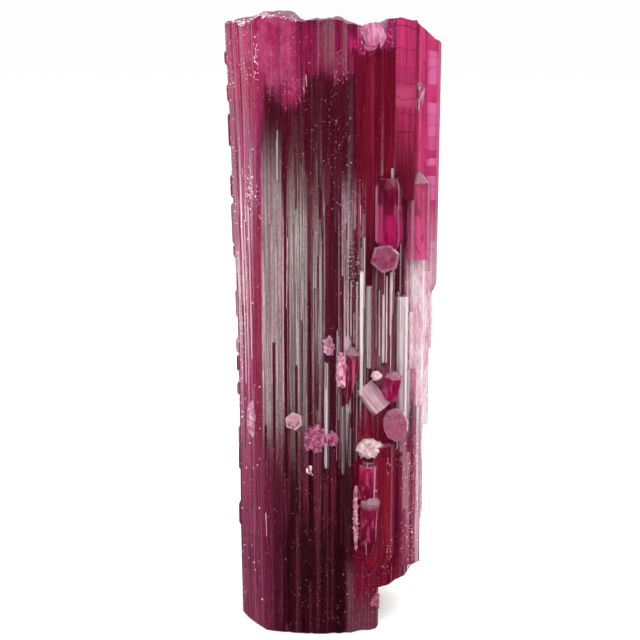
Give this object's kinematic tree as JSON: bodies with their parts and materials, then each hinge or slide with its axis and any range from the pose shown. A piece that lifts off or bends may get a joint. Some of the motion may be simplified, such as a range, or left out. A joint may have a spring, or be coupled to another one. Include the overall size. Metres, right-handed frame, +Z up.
{
  "type": "tourmaline crystal",
  "caption": "Upright pink-red tourmaline crystal with long striated columns, small prisms grown on its front, a broken top and a flat cut base to stand on.",
  "frame": {"origin": "middle of the bounding box at the plane of the flat base", "axes": "+Z up along the crystal's length, -Y the front with the small prisms, +X to the right as seen from the front"},
  "size_m": [0.0307, 0.0278, 0.0886],
  "materials": {
    "tourmaline": "clear to cloudy pink-red crystal, striated along its length, with broken ends"
  },
  "bodies": {
    "root": {"tourmaline_crystal": "tourmaline"}
  },
  "joints": []
}
